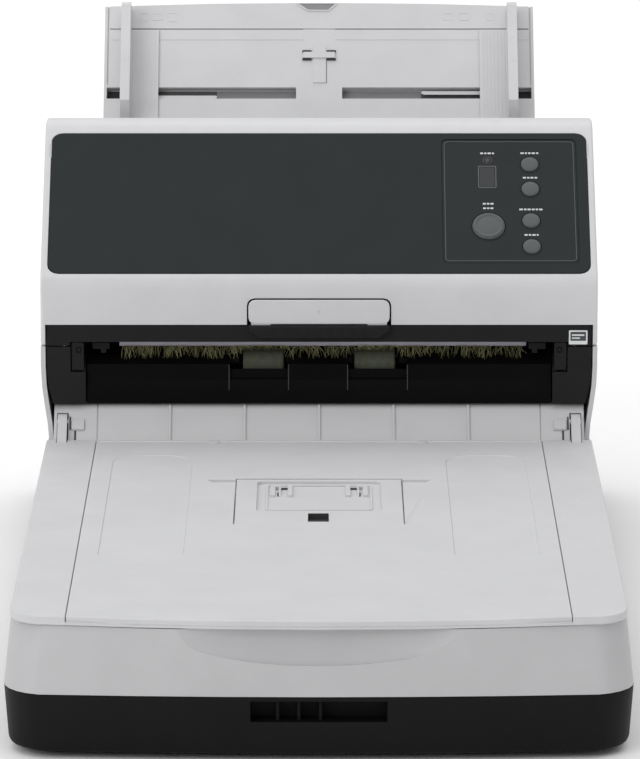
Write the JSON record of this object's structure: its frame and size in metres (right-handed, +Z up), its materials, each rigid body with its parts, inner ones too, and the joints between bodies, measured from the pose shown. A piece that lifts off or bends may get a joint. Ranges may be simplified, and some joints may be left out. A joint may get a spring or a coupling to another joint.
{
  "type": "sheet fed and flatbed document scanner",
  "caption": "Desktop document scanner: a sheet feeder with slanted key panel and paper chute stands on the rear of a flatbed with a hinged document cover.",
  "frame": {"origin": "floor level, under the middle of the footprint's bounding box, feet standing on z = 0", "axes": "+X to the right seen from the front, front of the scanner faces -Y, +Z up"},
  "size_m": [0.3, 0.5816, 0.2819],
  "materials": {
    "light_plastic": "fine matte texture, light grey",
    "cover_plastic": "fine matte texture, light grey",
    "dark_plastic": "fine matte texture, near black",
    "panel_plastic": "satin, dark grey",
    "key_plastic": "satin, mid grey",
    "white_foam": "white sheet on foam",
    "rubber": "matte black",
    "grey_rubber": "matte grey",
    "steel": "ground",
    "glass": "clear, polished",
    "board_green": "circuit board",
    "window_black": "polished, smoked"
  },
  "bodies": {
    "base": {"base_pan": "dark_plastic", "foot_front_left": "rubber", "foot_front_right": "rubber", "foot_rear_left": "rubber", "foot_rear_right": "rubber", "bed_frame": "light_plastic", "bed_glass": "glass", "carriage_rod": "steel", "carriage_belt": "rubber", "carriage_motor": "steel", "feeder_stand": "light_plastic", "side_cover_left": "light_plastic", "side_cover_right": "light_plastic", "rear_cover": "light_plastic", "side_frame_left": "dark_plastic", "side_frame_right": "dark_plastic", "lower_guide": "dark_plastic", "lower_scan_unit": "dark_plastic", "feed_motor": "steel", "drive_belt": "rubber", "main_board": "board_green", "power_inlet": "dark_plastic", "paper_chute": "light_plastic"},
    "carriage": {"scan_carriage": "dark_plastic"},
    "drive_pulley": {"belt_drive_pulley": "dark_plastic"},
    "idler_pulley": {"belt_idler_pulley": "dark_plastic"},
    "cover": {"document_cover": "cover_plastic", "stacker_panel": "cover_plastic", "cover_pad": "white_foam", "cover_hinge_left": "cover_plastic", "cover_hinge_right": "cover_plastic"},
    "stopper": {"stacker_stopper": "cover_plastic"},
    "eject_roller": {"eject_shaft": "steel", "eject_tyre_left": "grey_rubber", "eject_tyre_right": "grey_rubber"},
    "feed_roller": {"feed_roller": "rubber"},
    "pick_roller": {"pick_roller": "rubber"},
    "motor_pulley": {"motor_pulley": "dark_plastic"},
    "top_section": {"top_cover": "light_plastic", "front_panel": "panel_plastic", "operator_panel": "panel_plastic", "check_lamp": "window_black", "display_window": "window_black", "hood_frame": "dark_plastic", "upper_scan_unit": "dark_plastic", "static_brush": "steel"},
    "brake_roller": {"brake_roller": "rubber"},
    "scan_key": {"scan_key": "key_plastic"},
    "function_key": {"function_key": "key_plastic"},
    "send_key": {"send_key": "key_plastic"},
    "manual_key": {"manual_key": "key_plastic"},
    "power_key": {"power_key": "key_plastic"},
    "lever": {"cover_open_lever": "light_plastic", "lever_grip": "dark_plastic", "latch_shaft": "dark_plastic"},
    "extension": {"chute_extension": "light_plastic"},
    "extension_tip": {"extension_tip": "light_plastic"},
    "guide_left": {"side_guide_left": "light_plastic"},
    "guide_right": {"side_guide_right": "light_plastic"},
    "guide_pinion": {"guide_pinion": "dark_plastic"}
  },
  "joints": [
    {"name": "carriage_slide", "type": "slide", "parent": "base", "child": "carriage", "axis": [0, 1, 0], "range_m": [0, 0.28]},
    {"name": "drive_pulley_turn", "type": "hinge", "parent": "base", "child": "drive_pulley", "pos_m": [0.014, 0.06916, 0.043], "axis": [0, 0, 1], "range_deg": [-5, 2680]},
    {"name": "idler_pulley_turn", "type": "hinge", "parent": "base", "child": "idler_pulley", "pos_m": [0.014, -0.26084, 0.043], "axis": [0, 0, 1], "range_deg": [-5, 2680]},
    {"name": "cover_hinge", "type": "hinge", "parent": "base", "child": "cover", "pos_m": [0, 0.11366, 0.0756], "axis": [-1, 0, 0], "range_deg": [0, 70]},
    {"name": "stopper_hinge", "type": "hinge", "parent": "cover", "child": "stopper", "pos_m": [0, -0.09034, 0.0665], "axis": [1, 0, 0], "range_deg": [0, 95]},
    {"name": "pick_turn", "type": "hinge", "parent": "base", "child": "pick_roller", "pos_m": [0, 0.20476, 0.1554], "axis": [1, 0, 0], "continuous": true},
    {"name": "feed_turn", "type": "hinge", "parent": "base", "child": "feed_roller", "pos_m": [0, 0.16976, 0.1254], "axis": [1, 0, 0], "continuous": true},
    {"name": "eject_turn", "type": "hinge", "parent": "base", "child": "eject_roller", "pos_m": [0, 0.13516, 0.1036], "axis": [1, 0, 0], "continuous": true},
    {"name": "motor_turn", "type": "hinge", "parent": "base", "child": "motor_pulley", "pos_m": [0.1353, 0.22916, 0.112], "axis": [1, 0, 0], "continuous": true},
    {"name": "top_section_hinge", "type": "hinge", "parent": "base", "child": "top_section", "pos_m": [0, 0.20316, 0.207], "axis": [-1, 0, 0], "range_deg": [0, 55]},
    {"name": "brake_turn", "type": "hinge", "parent": "top_section", "child": "brake_roller", "pos_m": [0, 0.18736, 0.1708], "axis": [1, 0, 0], "continuous": true},
    {"name": "scan_key_press", "type": "slide", "parent": "top_section", "child": "scan_key", "axis": [0, 0.6699, -0.7425], "range_m": [0, 0.0008], "stiffness_N_per_m": 700},
    {"name": "function_key_press", "type": "slide", "parent": "top_section", "child": "function_key", "axis": [0, 0.6699, -0.7425], "range_m": [0, 0.0008], "stiffness_N_per_m": 600},
    {"name": "send_key_press", "type": "slide", "parent": "top_section", "child": "send_key", "axis": [0, 0.6699, -0.7425], "range_m": [0, 0.0008], "stiffness_N_per_m": 600},
    {"name": "manual_key_press", "type": "slide", "parent": "top_section", "child": "manual_key", "axis": [0, 0.6699, -0.7425], "range_m": [0, 0.0008], "stiffness_N_per_m": 600},
    {"name": "power_key_press", "type": "slide", "parent": "top_section", "child": "power_key", "axis": [0, 0.6699, -0.7425], "range_m": [0, 0.0008], "stiffness_N_per_m": 600},
    {"name": "lever_turn", "type": "hinge", "parent": "top_section", "child": "lever", "pos_m": [0, 0.12316, 0.142], "axis": [-1, 0, 0], "range_deg": [0, 10], "stiffness_Nm_per_rad": 0.2},
    {"name": "extension_slide", "type": "slide", "parent": "base", "child": "extension", "axis": [0, 0.5878, 0.809], "range_m": [0, 0.055]},
    {"name": "tip_slide", "type": "slide", "parent": "extension", "child": "extension_tip", "axis": [0, 0.5878, 0.809], "range_m": [0, 0.045]},
    {"name": "guide_left_slide", "type": "slide", "parent": "base", "child": "guide_left", "axis": [1, 0, 0], "range_m": [-0.003, 0.072]},
    {"name": "guide_right_slide", "type": "slide", "parent": "base", "child": "guide_right", "axis": [1, 0, 0], "range_m": [-0.072, 0.003]},
    {"name": "pinion_turn", "type": "hinge", "parent": "base", "child": "guide_pinion", "pos_m": [0, 0.25072, 0.23153], "axis": [0, -0.809, 0.5878], "range_deg": [-50, 1065]}
  ],
  "couplings": [
    {"joint": "drive_pulley_turn", "follows": "carriage_slide", "rad_per_m": 166.67},
    {"joint": "idler_pulley_turn", "follows": "carriage_slide", "rad_per_m": 166.67},
    {"joint": "feed_turn", "follows": "pick_turn", "ratio": 1.2222},
    {"joint": "eject_turn", "follows": "pick_turn", "ratio": 1.2941},
    {"joint": "motor_turn", "follows": "pick_turn", "ratio": 1.2222},
    {"joint": "guide_right_slide", "follows": "guide_left_slide", "ratio": -1},
    {"joint": "pinion_turn", "follows": "guide_left_slide", "rad_per_m": 256.41}
  ]
}
